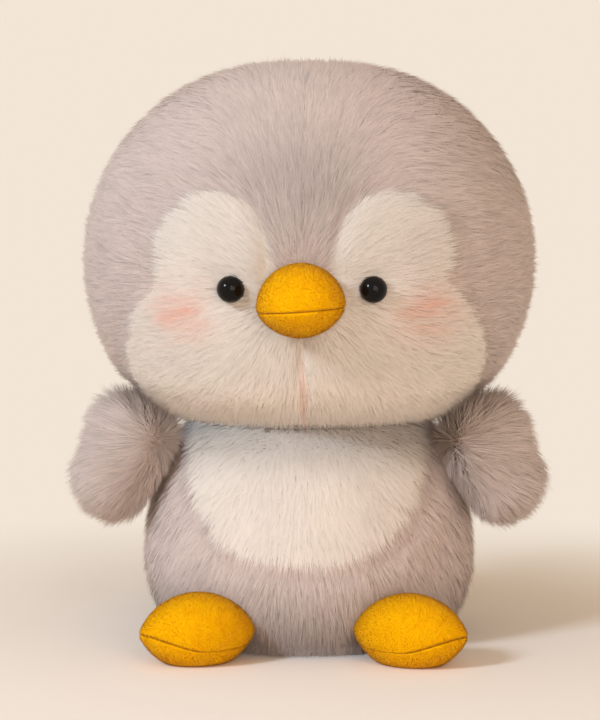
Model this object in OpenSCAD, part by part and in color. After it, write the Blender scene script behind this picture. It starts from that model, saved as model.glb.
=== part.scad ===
// Sitting plush penguin: a big round head, a pear-shaped body, two stub wings and two feet.
// Millimetres, measured over the tips of the pile. The toy sits on Z = 0 and faces -Y.
// Left and right are the toy's own, so its left side is at +X.

/* [Head] */
// Width of the head
head_w = 196; // [190:2:202]
// Height of the head from chin to crown
head_h = 150; // [146:1:154]

/* [Body] */
// Height of the chin above the floor
chin_z = 100; // [98:1:104]
// Width of the body at its fullest
body_w = 144; // [140:1:148]

/* [Face] */
// Diameter of an eye
eye_d = 11; // [9:0.5:12]
// Distance between the centres of the eyes
eye_spacing = 58; // [56:1:60]
// Width of the beak
beak_w = 35; // [32:1:37]

/* [Limbs] */
// Diameter of a wing at its fullest
wing_d = 52; // [49:1:53]
// Length of a foot from end to end
foot_l = 50; // [48:1:52]

/* [Fabric] */
// Thickness of the long-pile plush with its backing
plush_t = 8; // [7:0.5:9]
// Thickness of the short-nap fleece on the beak and the feet
fleece_t = 2.5; // [2:0.5:3]

/* [Hidden] */
$fn = 96;

// Gap between pieces that are sewn or fitted together
fit = 0.1;
// Gap between pieces that move against each other
play = 0.4;
// Woven backing under the pile
backing_t = 2;
// Longer than any piece, for cuts that go right through
beyond = 600;
left = 1;
right = -1;

// Colours of the fabrics, the filling and the fittings
grey = "#b7a89d";
cream = "#eadfce";
orange = "#f2a912";
sole_orange = "#e39a0c";
filling = "#f4f4f0";
black = "#141210";
white = "#e6e6e6";
cotton = "#d8d4cc";
thread_grey = "#9a8c82";

// Head profile: one arc from the crown over the cheek, then a tighter arc round the jaw
head_r = head_w / 2;
cheek_z = chin_z + 0.427 * head_h;
cheek_r = chin_z + head_h - cheek_z;
cheek = [head_r - cheek_r, cheek_z];
jaw_r = 0.267 * head_h;
jaw_z = chin_z + jaw_r;
jaw = [cheek[0] + sqrt(pow(cheek_r - jaw_r, 2) - pow(cheek_z - jaw_z, 2)), jaw_z];
jaw_way = (jaw - cheek) / norm(jaw - cheek);

// Neck: the body's domed top, gathered by a thread, in a dish under the head
neck_r = 0.389 * body_w;
neck_z = chin_z - 25;
thread_r = 0.8;
thread_z = chin_z - 4;
thread_ring_r = sqrt(pow(neck_r - thread_r - 2 * fit, 2) - pow(thread_z - neck_z, 2));

// Body profile: a long arc up to the shoulder and a shorter one down to the base seam
body_r = body_w / 2;
fullest_z = 0.36 * chin_z;
shoulder_z = chin_z - 8;
shoulder_r = 0.785 * body_r;
base_r = 0.815 * body_r;
flank_r = arc_radius(shoulder_z - fullest_z, body_r - shoulder_r);
seat_r = arc_radius(fullest_z, body_r - base_r);
base_panel_r = base_r - plush_t;
belly_r = 0.667 * body_r;
belly_z = shoulder_z - 5;

// Face: two lobes over two jowls
lobe_r = 0.245 * head_r;
lobe = [0.378 * head_r, chin_z + 0.445 * head_h];
jowl_r = 0.393 * head_r;
jowl = [0.367 * head_r, chin_z + 0.187 * head_h];

// Eyes: glossy domes on ribbed posts, held by washers behind the backing
eye_r = eye_d / 2;
eye_x = eye_spacing / 2;
eye_z = chin_z + 0.371 * head_h;
eye_rim = 2;
eye_sink = 3.5;
post_r = 2;
rib_r = 2.3;
rib_pitch = 2.4;
rib_count = 4;
post_l = 12;
washer_r = 6.5;
washer_t = 1.6;
washer_seat = 0.4;

// Beak: two spherical caps that meet in one seam
beak_r = beak_w / 2;
beak_upper_h = 1.05 * beak_r;
beak_lower_h = 0.62 * beak_r;
beak_z = chin_z + 0.32 * head_h;
beak_y = -head_radius(beak_z) - 0.2 * beak_r;
beak_upper_r = arc_radius(beak_r, beak_upper_h);
beak_lower_r = arc_radius(beak_r, beak_lower_h);

// Pellet bag: a round pillow that lies on the base
bag_r = 0.52 * body_r;
bag_h = 24;
bag_z = plush_t + fit + bag_h / 2;

// Wings: two tangent balls along a slanting line, swinging about their seam on the flank
wing_turn = 18;
wing_back = 15;
wing_forward = 20;
wing_r = wing_d / 2;
wing_tip_r = 0.8 * wing_r;
wing_l = 0.6 * wing_r;
wing_slant = 55;
wing_out = body_r + 4;
wing_z = shoulder_z - 7;
wing_at = [wing_out * cos(wing_turn), -wing_out * sin(wing_turn), wing_z];
wing_taper = asin((wing_r - wing_tip_r) / wing_l);
wing_lean = asin((wing_z - fullest_z) / flank_r);
wing_seam = [body_r - flank_r + (flank_r + play) * cos(wing_lean), 0, wing_z + play * sin(wing_lean)];
wing_flat_tilt = 30;
wing_flat_h = 0.45 * wing_r;

// Feet: lemon-shaped pillows with a seam round the sole, tipping up about their seam on the body
foot_r = 0.323 * foot_l;
foot_arc_r = arc_radius(foot_l / 2, foot_r);
foot_blunt = 0.5;
foot_at = [0.611 * body_r, -0.972 * body_r, 0.8 * foot_r];
foot_yaw = 20;
foot_rim_z = 0.55 * foot_r;
foot_lift = 15;
foot_turn = atan2(foot_at[0], -foot_at[1]);
foot_seam_z = 1.1 * foot_r;
foot_dip = asin((fullest_z - foot_seam_z) / seat_r);
foot_seam = [body_r - seat_r + (seat_r + play) * cos(foot_dip), 0, foot_seam_z - play * sin(foot_dip)];

// Radius of the arc through the ends of a chord, from half the chord and its rise
function arc_radius(half_chord, rise) = (pow(half_chord, 2) + pow(rise, 2)) / (2 * rise);

// Distance of the cheek surface from the upright middle line
function head_radius(z) = cheek[0] + sqrt(pow(cheek_r, 2) - pow(z - cheek_z, 2));

// Everything on the +X side of the origin
module outer_space() {
    translate([0, -beyond / 2, -beyond / 2])
        cube(beyond);
}

// Its children at +X for the left side, or mirrored for the right
module on_side(side) {
    mirror([side == left ? 0 : 1, 0, 0])
        children();
}

// Everything on one side of the middle plane
module side_space(side) {
    on_side(side)
        translate([fit / 2, 0, 0])
            outer_space();
}

module right_half_plane() {
    translate([0, -beyond / 2])
        square(beyond);
}

// The head's form, drawn in by a depth all round
module head_form(inset = 0) {
    rotate_extrude()
        difference() {
            intersection() {
                union() {
                    translate(cheek)
                        circle(cheek_r - inset);
                    translate([0, cheek_z - cheek_r + inset])
                        square([cheek[0], 2 * (cheek_r - inset)]);
                }
                translate([0, chin_z + inset])
                    square(beyond);
            }
            difference() {
                polygon([
                    jaw, jaw - [0, 2 * jaw_r], jaw + [2 * jaw_r, -2 * jaw_r], jaw + 2 * jaw_r * jaw_way
                ]);
                translate(jaw)
                    circle(jaw_r - inset);
            }
        }
}

module neck_socket() {
    translate([0, 0, neck_z])
        sphere(neck_r + play);
}

// Front outline of the cream face, run back into the head
module face_space(grow = 0) {
    rotate([90, 0, 0])
        linear_extrude(beyond / 2) {
            for (side = [left, right]) {
                translate([side * lobe[0], lobe[1]])
                    circle(lobe_r + grow);
                translate([side * jowl[0], jowl[1]])
                    circle(jowl_r + grow);
            }
            translate([-jowl[0], 0])
                square([2 * jowl[0], jowl[1]]);
        }
}

// Puts its children on the head's surface at an eye, with their Z pointing outward
module at_eye(side) {
    eye_way = asin(eye_x / head_radius(eye_z));
    eye_dip = asin((eye_z - cheek_z) / cheek_r);
    translate([side * eye_x, -head_radius(eye_z) * cos(eye_way), eye_z])
        rotate([90 - eye_dip, 0, side * eye_way])
            children();
}

// Room for an eye in the pile and for its post through the backing
module eye_seat(side) {
    at_eye(side) {
        translate([0, 0, -eye_sink - fit])
            cylinder(h = plush_t, r = eye_r + fit);
        translate([0, 0, -plush_t - post_l])
            cylinder(h = plush_t + post_l, r = rib_r + fit);
    }
}

// One spherical cap of the beak, above or below the seam
module beak_cap(cap_r, rise, up, inset) {
    intersection() {
        translate([0, beak_y, beak_z + up * (rise - cap_r)])
            sphere(cap_r - inset);
        translate([-beyond / 2, -beyond / 2, beak_z - (up > 0 ? 0 : beyond)])
            cube(beyond);
    }
}

module beak_upper_cap(inset = 0) {
    beak_cap(beak_upper_r, beak_upper_h, 1, inset);
}

module beak_lower_cap(inset = 0) {
    beak_cap(beak_lower_r, beak_lower_h, -1, inset);
}

// Room for the beak down to the backing of the face
module beak_seat() {
    difference() {
        union() {
            beak_upper_cap(-fit);
            beak_lower_cap(-fit);
        }
        head_form(plush_t - backing_t);
    }
}

module head_plush() {
    difference() {
        head_form();
        head_form(plush_t);
        neck_socket();
        beak_seat();
        eye_seat(left);
        eye_seat(right);
    }
}

module head_panel(side) {
    color(grey)
        difference() {
            intersection() {
                head_plush();
                side_space(side);
            }
            face_space(fit);
        }
}

module face_panel(side) {
    color(cream)
        intersection() {
            head_plush();
            side_space(side);
            face_space();
        }
}

module head_stuffing() {
    color(filling)
        difference() {
            head_form(plush_t + fit);
            neck_socket();
            for (side = [left, right])
                at_eye(side)
                    translate([0, 0, -plush_t - post_l - fit])
                        cylinder(h = plush_t + post_l, r = washer_r + fit);
        }
}

module eye(side) {
    color(black)
        at_eye(side)
            translate([0, 0, -eye_sink]) {
                cylinder(h = eye_rim, r = eye_r);
                intersection() {
                    translate([0, 0, eye_rim])
                        sphere(eye_r);
                    translate([-eye_d, -eye_d, eye_rim])
                        cube(2 * eye_d);
                }
                translate([0, 0, -post_l])
                    cylinder(h = post_l, r = post_r);
                for (rib = [1:rib_count])
                    translate([0, 0, -post_l + (rib - 1) * rib_pitch])
                        cylinder(h = rib_pitch / 3, r = rib_r);
            }
}

module eye_washers() {
    color(white)
        for (side = [left, right])
            at_eye(side)
                translate([0, 0, -plush_t - washer_seat - washer_t])
                    difference() {
                        cylinder(h = washer_t, r = washer_r);
                        translate([0, 0, -washer_t])
                            cylinder(h = 3 * washer_t, r = rib_r + fit);
                    }
}

module beak_upper() {
    color(orange)
        difference() {
            beak_upper_cap();
            beak_upper_cap(fleece_t);
            head_form(plush_t - backing_t - fit);
        }
}

module beak_lower() {
    color(orange)
        difference() {
            beak_lower_cap();
            beak_lower_cap(fleece_t);
            head_form(plush_t - backing_t - fit);
        }
}

module beak_stuffing() {
    color(filling)
        difference() {
            union() {
                beak_upper_cap(fleece_t + fit);
                beak_lower_cap(fleece_t + fit);
            }
            head_form(plush_t - backing_t - fit);
        }
}

// The body without its neck, drawn in by a depth all round
module torso_form(inset = 0) {
    rotate_extrude() {
        intersection() {
            translate([body_r - flank_r, fullest_z])
                circle(flank_r - inset);
            translate([0, fullest_z])
                square([body_w, shoulder_z - inset - fullest_z]);
        }
        intersection() {
            union() {
                translate([body_r - seat_r, fullest_z])
                    circle(seat_r - inset);
                square([body_r - seat_r, fullest_z]);
            }
            translate([0, inset])
                square([body_w, fullest_z - inset]);
        }
    }
}

module body_form(inset = 0) {
    torso_form(inset);
    translate([0, 0, neck_z])
        sphere(neck_r - inset);
}

module neck_ring(thickness_r) {
    rotate_extrude()
        translate([thread_ring_r, thread_z])
            circle(thickness_r);
}

module body_plush() {
    difference() {
        body_form();
        body_form(plush_t);
        neck_ring(thread_r + fit);
    }
}

// Front outline of the cream belly, run back into the body
module belly_space(grow = 0) {
    rotate([90, 0, 0])
        linear_extrude(beyond / 2) {
            translate([0, belly_z])
                circle(belly_r + grow);
            translate([-belly_r - grow, belly_z])
                square([2 * (belly_r + grow), beyond]);
        }
}

module base_space(grow = 0) {
    translate([0, 0, -plush_t])
        cylinder(h = 2 * plush_t + fit, r = base_panel_r + grow);
}

module body_panel(side) {
    color(grey)
        difference() {
            intersection() {
                body_plush();
                side_space(side);
            }
            belly_space(fit);
            base_space(fit);
        }
}

module belly_panel() {
    color(cream)
        intersection() {
            body_plush();
            belly_space();
        }
}

module base_panel() {
    color(grey)
        intersection() {
            body_plush();
            base_space();
        }
}

module bag_form(grow = 0) {
    bag_arc_r = arc_radius(bag_r, bag_h / 2);
    translate([0, 0, bag_z])
        rotate_extrude()
            intersection() {
                intersection_for(end = [-1, 1])
                    translate([0, end * (bag_arc_r - bag_h / 2)])
                        circle(bag_arc_r + grow);
                right_half_plane();
            }
}

module body_stuffing() {
    color(filling)
        difference() {
            body_form(plush_t + fit);
            bag_form(fit);
        }
}

module pellet_bag() {
    color(cotton)
        bag_form();
}

module neck_thread() {
    color(thread_grey)
        neck_ring(thread_r);
}

// A wing's two balls and the cone between them, slanting down and out from the origin towards +X
module wing_balls(inset) {
    root_r = wing_r - inset;
    tip_r = wing_tip_r - inset;
    rotate([0, 90 + wing_slant, 0])
        rotate_extrude()
            intersection() {
                union() {
                    circle(root_r);
                    translate([0, wing_l])
                        circle(tip_r);
                    polygon([
                        [0, 0],
                        [root_r * cos(wing_taper), root_r * sin(wing_taper)],
                        [tip_r * cos(wing_taper), wing_l + tip_r * sin(wing_taper)],
                        [0, wing_l]
                    ]);
                }
                right_half_plane();
            }
}

// The left wing's form in its place, flattened on top where the cheek comes down to it
module wing_form(inset = 0) {
    translate(wing_at)
        intersection() {
            wing_balls(inset);
            rotate([0, -wing_flat_tilt, -wing_turn])
                translate([-beyond / 2, -beyond / 2, wing_flat_h - inset - beyond])
                    cube(beyond);
        }
}

// Puts a wing on its side of the body, cut back from its seam to clear the body over its swing
module place_wing(side) {
    on_side(side)
        intersection() {
            children();
            intersection_for(angle = [-wing_back, wing_forward])
                rotate([0, 0, -wing_turn])
                    translate(wing_seam)
                        rotate([0, -wing_lean, 0])
                            rotate([0, 0, angle])
                                outer_space();
        }
}

// The front (-1) or the back (1) of a wing's plush
module wing_panel(side, back) {
    color(grey)
        place_wing(side)
            intersection() {
                difference() {
                    wing_form();
                    wing_form(plush_t);
                }
                translate([0, wing_at[1] + (back > 0 ? fit / 2 : -beyond - fit / 2), -beyond / 2])
                    cube(beyond);
            }
}

module wing_stuffing(side) {
    color(filling)
        place_wing(side)
            wing_form(plush_t + fit);
}

// A lemon-shaped pillow: an arc turned about its own chord, flat where it stands
module foot_form(inset = 0) {
    intersection() {
        translate(foot_at)
            rotate([0, 90, -foot_yaw])
                rotate_extrude()
                    intersection() {
                        translate([foot_r - foot_arc_r, 0])
                            circle(foot_arc_r - inset);
                        translate([0, foot_blunt + inset - foot_l / 2])
                            square([foot_l, foot_l - 2 * (foot_blunt + inset)]);
                    }
        translate([-beyond / 2, -beyond / 2, inset])
            cube(beyond);
    }
}

// Puts a foot on its side of the body, cut back from its seam to clear the body over its lift
module place_foot(side) {
    on_side(side)
        intersection() {
            children();
            intersection_for(tilt = [0, foot_dip + foot_lift])
                rotate([0, 0, foot_turn - 90])
                    translate(foot_seam)
                        rotate([0, tilt, 0])
                            outer_space();
        }
}

module foot_fleece() {
    difference() {
        foot_form();
        foot_form(fleece_t);
    }
}

module foot_top(side) {
    color(orange)
        place_foot(side)
            intersection() {
                foot_fleece();
                translate([-beyond / 2, -beyond / 2, foot_rim_z + fit])
                    cube(beyond);
            }
}

module foot_sole(side) {
    color(sole_orange)
        place_foot(side)
            intersection() {
                foot_fleece();
                translate([-beyond / 2, -beyond / 2, foot_rim_z - beyond])
                    cube(beyond);
            }
}

module foot_stuffing(side) {
    color(filling)
        place_foot(side)
            foot_form(fleece_t + fit);
}

head_panel(left);  // head_panel_left
head_panel(right);  // head_panel_right
face_panel(left);  // face_panel_left
face_panel(right);  // face_panel_right
head_stuffing();
eye(left);  // eye_left
eye(right);  // eye_right
eye_washers();
beak_upper();
beak_lower();
beak_stuffing();
body_panel(left);  // body_panel_left
body_panel(right);  // body_panel_right
belly_panel();
base_panel();
body_stuffing();
pellet_bag();
neck_thread();
wing_panel(left, -1);  // wing_front_left
wing_panel(left, 1);  // wing_back_left
wing_stuffing(left);  // wing_stuffing_left
wing_panel(right, -1);  // wing_front_right
wing_panel(right, 1);  // wing_back_right
wing_stuffing(right);  // wing_stuffing_right
foot_top(left);  // foot_top_left
foot_sole(left);  // foot_sole_left
foot_stuffing(left);  // foot_stuffing_left
foot_top(right);  // foot_top_right
foot_sole(right);  // foot_sole_right
foot_stuffing(right);  // foot_stuffing_right
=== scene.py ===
"""Looks of a sitting plush penguin: pile sewn over padded forms, fleece beak and feet, glossy eyes.

Metres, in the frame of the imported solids: the toy sits on Z = 0 and faces -Y. Left and right are the
toy's own, so its left side is at +X. Every padded form is a smooth closed mesh, found by walking out
from its middle until a distance function says that its surface is reached. Pile and nap are strands
that stand on those meshes.
"""

import math

import bmesh
import bpy
import numpy as np
from bpy.props import FloatProperty, FloatVectorProperty, PointerProperty
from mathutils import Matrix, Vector
from mathutils.kdtree import KDTree


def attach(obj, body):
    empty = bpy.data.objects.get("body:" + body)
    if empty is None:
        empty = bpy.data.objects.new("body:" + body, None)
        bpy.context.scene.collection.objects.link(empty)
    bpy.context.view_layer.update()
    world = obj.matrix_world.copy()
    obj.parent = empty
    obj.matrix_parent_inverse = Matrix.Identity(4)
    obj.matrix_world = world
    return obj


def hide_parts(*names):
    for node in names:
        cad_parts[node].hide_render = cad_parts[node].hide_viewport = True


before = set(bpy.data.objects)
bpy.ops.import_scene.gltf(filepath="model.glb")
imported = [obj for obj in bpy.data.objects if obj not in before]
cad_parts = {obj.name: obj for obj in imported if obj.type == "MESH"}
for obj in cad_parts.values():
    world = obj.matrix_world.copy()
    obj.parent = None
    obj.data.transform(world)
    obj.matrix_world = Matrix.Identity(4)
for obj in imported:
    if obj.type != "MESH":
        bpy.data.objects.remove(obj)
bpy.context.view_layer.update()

bl_info = {
    "name": "Plush penguin looks",
    "version": (1, 0, 0),
    "blender": (4, 5, 0),
    "location": "3D View > Sidebar > Penguin",
    "description": "Pads, pile, nap and finishes of a sitting plush penguin around its packed solids",
    "category": "Object",
}

MM = 0.001
LEFT, RIGHT = 1, -1
SIDES = {LEFT: "left", RIGHT: "right"}
UP = np.array([0.0, 0.0, 1.0])
DOWN = -UP


def shade(red, green, blue):
    """Linear colour of three screen values from 0 to 255."""
    parts = np.array([red, green, blue]) / 255
    return tuple(np.where(parts <= 0.04045, parts / 12.92, ((parts + 0.055) / 1.055) ** 2.4))


# Properties that a user would change

def length_property(name, description, default):
    """A length in metres."""
    return FloatProperty(name=name, description=description, default=default, unit="LENGTH", precision=4)


def colour_property(name, description, default):
    """A linear colour."""
    return FloatVectorProperty(
        name=name, description=description, default=default, subtype="COLOR", size=3, min=0, max=1
    )


class PenguinSizes(bpy.types.PropertyGroup):
    """Driving sizes of the forms, measured over the tips of the pile."""

    head_width: length_property("Head width", "Width of the head", 0.196)
    head_height: length_property("Head height", "Height from chin to crown", 0.150)
    chin_height: length_property("Chin height", "Height of the chin above the floor", 0.100)
    body_width: length_property("Body width", "Width of the body at its fullest", 0.144)
    eye_diameter: length_property("Eye diameter", "Diameter of an eye", 0.011)
    eye_spacing: length_property("Eye spacing", "Distance between the centres of the eyes", 0.058)
    beak_width: length_property("Beak width", "Width of the beak", 0.035)
    wing_diameter: length_property("Wing diameter", "Diameter of a wing at its fullest", 0.052)
    foot_length: length_property("Foot length", "Length of a foot from end to end", 0.050)


class PenguinPile(bpy.types.PropertyGroup):
    """Length, width and density of pile and nap."""

    grey_length: length_property("Grey pile", "Length of the grey pile", 0.0110)
    wing_length: length_property("Wing pile", "Length of the pile on the wings", 0.0115)
    face_length: length_property("Face pile", "Length of the cream pile of the face", 0.0085)
    belly_length: length_property("Belly pile", "Length of the cream pile of the belly", 0.0095)
    base_length: length_property("Base pile", "Length of the pile under the body", 0.0030)
    nap_length: length_property("Nap", "Length of the fleece nap on beak and feet", 0.0006)
    strand_width: length_property("Strand width", "Width of a strand of pile at its root", 0.00030)
    nap_width: length_property("Nap width", "Width of a strand of nap", 0.00022)
    grey_density: FloatProperty(
        name="Grey density", description="Strands of grey pile on a square millimetre", default=2.6
    )
    cream_density: FloatProperty(
        name="Cream density", description="Strands of cream pile on a square millimetre", default=4.0
    )
    nap_density: FloatProperty(
        name="Nap density", description="Strands of nap on a square millimetre", default=16.0
    )


class PenguinColours(bpy.types.PropertyGroup):
    """Colours of the fabrics, the fittings and the stage."""

    grey_tip: colour_property("Grey tips", "Grey pile at its tips", shade(209, 192, 183))
    grey_root: colour_property("Grey roots", "Grey pile at its roots", shade(190, 171, 158))
    cream_tip: colour_property("Cream tips", "Cream pile at its tips", shade(229, 218, 207))
    cream_root: colour_property("Cream roots", "Cream pile at its roots", shade(216, 202, 186))
    # The blush colour also paints the shade in the seam under the beak.
    blush: colour_property("Blush", "Tint of the cheeks", shade(228, 172, 152))
    orange: colour_property("Orange", "Fleece of beak and feet", shade(248, 186, 0))
    # The deep orange is partly the fleece's own mottle and partly painted shade in the hollows of its
    # grain.
    orange_deep: colour_property("Deep orange", "Fleece in its hollows", shade(240, 168, 0))
    eye: colour_property("Eye", "Glossy black of the eyes", shade(12, 9, 8))
    washer: colour_property("Washer", "Moulded washers behind the eyes", shade(228, 228, 224))
    thread: colour_property("Thread", "Gathering thread of the neck", shade(150, 136, 126))
    backdrop: colour_property("Backdrop", "Background", shade(242, 229, 214))
    floor: colour_property("Floor", "Floor under the toy", shade(251, 241, 231))


# Small helpers for points and fields

def unit(vectors):
    """Vectors at length one."""
    return vectors / np.maximum(np.linalg.norm(vectors, axis=-1, keepdims=True), 1e-12)


def ease(values, start, end):
    """Smooth step from 0 at start to 1 at end."""
    t = np.clip((values - start) / (end - start), 0, 1)
    return t * t * (3 - 2 * t)


def bump(distance, reach):
    """A bell of height one that fades over reach."""
    return np.exp(-((distance / reach) ** 2))


def soft_max(a, b, blend):
    """The larger of two gaps, rounded where they are within blend of each other."""
    h = np.clip(0.5 + 0.5 * (a - b) / blend, 0, 1)
    return b + (a - b) * h + blend * h * (1 - h)


def soft_min(a, b, blend):
    """The smaller of two gaps, rounded where they are within blend of each other."""
    return -soft_max(-a, -b, blend)


def arc_radius(half_chord, rise):
    """Radius of the arc through the ends of a chord."""
    return (half_chord**2 + rise**2) / (2 * rise)


def turn(points, axis, angle):
    """Points turned about the origin's x, y or z axis, by an angle in radians."""
    a, b = [(1, 2), (2, 0), (0, 1)][axis]
    c, s = math.cos(angle), math.sin(angle)
    turned = np.array(points, float)
    turned[..., a], turned[..., b] = (
        c * points[..., a] - s * points[..., b],
        s * points[..., a] + c * points[..., b],
    )
    return turned


def on_side(points, side):
    """Points or directions of the left side, mirrored where the side is the right one."""
    return points * np.array([side, 1, 1])


def form_on_side(form, side):
    """Vertices and triangles of a form of the left side, mirrored where the side is the right one."""
    vertices, triangles = form
    return on_side(vertices, side), triangles[:, ::side]


def tangent(vectors, normals):
    """The part of the vectors that lies in the surface, at length one."""
    return unit(vectors - normals * np.sum(vectors * normals, axis=1, keepdims=True))


def ripple(points, wavelength, seed):
    """Smooth wandering values from about -1 to 1, from a few crossing waves."""
    waves = 7
    rng = np.random.default_rng(seed)
    directions = unit(rng.normal(size=(waves, 3))) * rng.uniform(0.6, 1.5, (waves, 1))
    phases = rng.uniform(0, 2 * math.pi, waves)
    return np.sin(points @ directions.T * (2 * math.pi / wavelength) + phases).sum(1) / math.sqrt(waves)


# Forms as signed distances, negative inside

class PenguinForms:
    """The toy's forms, derived from its driving sizes in the same way as the solids."""

    play = 0.4 * MM
    neck_drop = 25 * MM
    shoulder_drop = 8 * MM
    wing_swing = (-15, 20)
    # The hair of the face reaches higher and less far aside than its panel
    face_rise = 2.5 * MM
    face_trim = 1.5 * MM
    # Depth of the backing below the tips, as a share of the pile's length
    head_sink = 0.48
    body_sink = 0.49
    wing_sink = 0.53

    def __init__(self, sizes, pile):
        self.pile = pile
        self.shape_head(sizes)
        self.shape_body(sizes)
        self.shape_face(sizes)
        self.shape_wing(sizes)
        self.shape_foot(sizes)

    def shape_head(self, sizes):
        """An arc from the crown over the cheek, a tighter one round the jaw, and the neck's ball."""
        self.head_r = sizes.head_width / 2
        self.head_h = sizes.head_height
        self.chin_z = sizes.chin_height
        cheek_z = self.chin_z + 0.427 * self.head_h
        self.cheek_r = self.chin_z + self.head_h - cheek_z
        self.cheek = np.array([self.head_r - self.cheek_r, cheek_z])
        self.jaw_r = 0.267 * self.head_h
        jaw_z = self.chin_z + self.jaw_r
        reach = math.sqrt((self.cheek_r - self.jaw_r) ** 2 - (cheek_z - jaw_z) ** 2)
        self.jaw = np.array([self.cheek[0] + reach, jaw_z])
        self.jaw_way = unit(self.jaw - self.cheek)
        self.neck_r = 0.389 * sizes.body_width
        self.neck = np.array([0, 0, self.chin_z - self.neck_drop])
        self.head_middle = np.array([0, 0, cheek_z])

    def shape_body(self, sizes):
        """A long arc up to the shoulder and a shorter one down to the base."""
        self.body_r = sizes.body_width / 2
        self.fullest_z = 0.36 * self.chin_z
        self.shoulder_z = self.chin_z - self.shoulder_drop
        self.base_r = 0.815 * self.body_r
        self.flank_r = arc_radius(self.shoulder_z - self.fullest_z, 0.215 * self.body_r)
        self.seat_r = arc_radius(self.fullest_z, self.body_r - self.base_r)
        self.belly_r = 0.667 * self.body_r
        self.belly_z = self.shoulder_z - 5 * MM
        self.body_middle = np.array([0, 0, 0.55 * self.chin_z])

    def shape_face(self, sizes):
        """Two lobes over two jowls, the eyes, and the two caps of the beak."""
        self.lobe_r = 0.245 * self.head_r
        self.lobe = np.array([0.378 * self.head_r, self.chin_z + 0.445 * self.head_h])
        self.jowl_r = 0.393 * self.head_r
        self.jowl = np.array([0.367 * self.head_r, self.chin_z + 0.187 * self.head_h])
        self.eye_r = sizes.eye_diameter / 2
        eye_x = sizes.eye_spacing / 2
        eye_z = self.chin_z + 0.371 * self.head_h
        self.eye = np.array([eye_x, -math.sqrt(self.cheek_radius(eye_z) ** 2 - eye_x**2), eye_z])
        self.beak_r = sizes.beak_width / 2
        self.beak_upper_h = 1.05 * self.beak_r
        self.beak_lower_h = 0.62 * self.beak_r
        beak_z = self.chin_z + 0.32 * self.head_h
        self.beak = np.array([0, -self.cheek_radius(beak_z) - 0.2 * self.beak_r, beak_z])
        self.beak_tilt = math.radians(-4)
        self.blush = np.array([0.4592 * self.head_r, 0, self.chin_z + 0.31 * self.head_h])

    def shape_wing(self, sizes):
        """Two tangent balls on a slanting line, cut back to clear the flank over the swing."""
        self.wing_r = sizes.wing_diameter / 2
        self.wing_tip_r = 0.8 * self.wing_r
        wing_turn = math.radians(18)
        slant = math.radians(55)
        out = self.body_r + 4 * MM
        wing_z = self.shoulder_z - 7 * MM
        self.wing = np.array([out * math.cos(wing_turn), -out * math.sin(wing_turn), wing_z])
        self.wing_way = np.array([math.cos(slant), 0, -math.sin(slant)])
        self.wing_l = 0.6 * self.wing_r
        lean = math.asin((wing_z - self.fullest_z) / self.flank_r)
        seam_r = self.body_r - self.flank_r + (self.flank_r + self.play) * math.cos(lean)
        seam = np.array([seam_r, 0, wing_z + self.play * math.sin(lean)])
        self.wing_seam = turn(seam, 2, -wing_turn)

        def facing(angle):
            """Direction from the flank to the wing, at an angle of its swing."""
            swung = turn(np.array([1.0, 0, 0]), 2, math.radians(angle))
            return turn(turn(swung, 1, -lean), 2, -wing_turn)

        self.wing_cuts = [facing(limit) for limit in self.wing_swing]
        self.wing_side = unit(self.wing_cuts[0] + self.wing_cuts[1])
        self.wing_flat = turn(turn(UP, 1, math.radians(-30)), 2, -wing_turn)
        self.wing_flat_h = 0.45 * self.wing_r + 6 * MM
        self.wing_middle = self.wing + 0.35 * self.wing_l * self.wing_way + np.array([6, 0, 0]) * MM
        self.wing_tack = self.wing + np.array([-15, -18, 4]) * MM

    def shape_foot(self, sizes):
        """A lemon lying on its side, flat under the sole, with a seam round its rim."""
        self.foot_half = sizes.foot_length / 2
        self.foot_r = 0.323 * sizes.foot_length
        self.foot_arc_r = arc_radius(self.foot_half, self.foot_r)
        self.foot = np.array([0.611 * self.body_r, -0.972 * self.body_r, 0.8 * self.foot_r])
        self.foot_yaw = math.radians(20)
        self.foot_rim_z = 0.45 * self.foot_r
        self.foot_rim_lift = 0.36 * self.foot_r

    def cheek_radius(self, height):
        """Distance of the cheek from the upright middle line at one height."""
        return self.cheek[0] + math.sqrt(self.cheek_r**2 - (height - self.cheek[1]) ** 2)

    def head_gap(self, p):
        """Gap to the head over the pile, without its dish."""
        radius = np.hypot(p[:, 0], p[:, 1])
        off_cheek = np.stack([np.maximum(radius - self.cheek[0], 0), p[:, 2] - self.cheek[1]], 1)
        off_jaw = np.stack([radius - self.jaw[0], p[:, 2] - self.jaw[1]], 1)
        under = self.jaw_way[0] * off_jaw[:, 1] - self.jaw_way[1] * off_jaw[:, 0] < 0
        off_jaw[:, 0] = np.maximum(off_jaw[:, 0], 0)
        cheek_gap = np.linalg.norm(off_cheek, axis=1) - self.cheek_r
        return np.where(under, np.linalg.norm(off_jaw, axis=1) - self.jaw_r, cheek_gap)

    def face_edge(self, p):
        """Distance from the face's outline as seen from the front, negative inside it."""
        across = np.abs(p[:, 0])
        lobe_gap = np.hypot(across - self.lobe[0], p[:, 2] - self.lobe[1] - self.face_rise) - self.lobe_r
        jowl_gap = np.hypot(across - self.jowl[0], p[:, 2] - self.jowl[1]) - self.jowl_r + self.face_trim
        chin_gap = np.maximum(across - self.jowl[0], p[:, 2] - self.jowl[1])
        edge = soft_min(soft_min(lobe_gap, jowl_gap, 5 * MM), chin_gap, 1 * MM)
        return np.where(p[:, 1] < 0, edge, 1.0)

    def length_at(self, edge, cream_length):
        """Length of the pile at a distance from a cream panel's outline: cream inside, grey outside."""
        return cream_length + (self.pile.grey_length - cream_length) * ease(edge, -3 * MM, 3 * MM)

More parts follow.
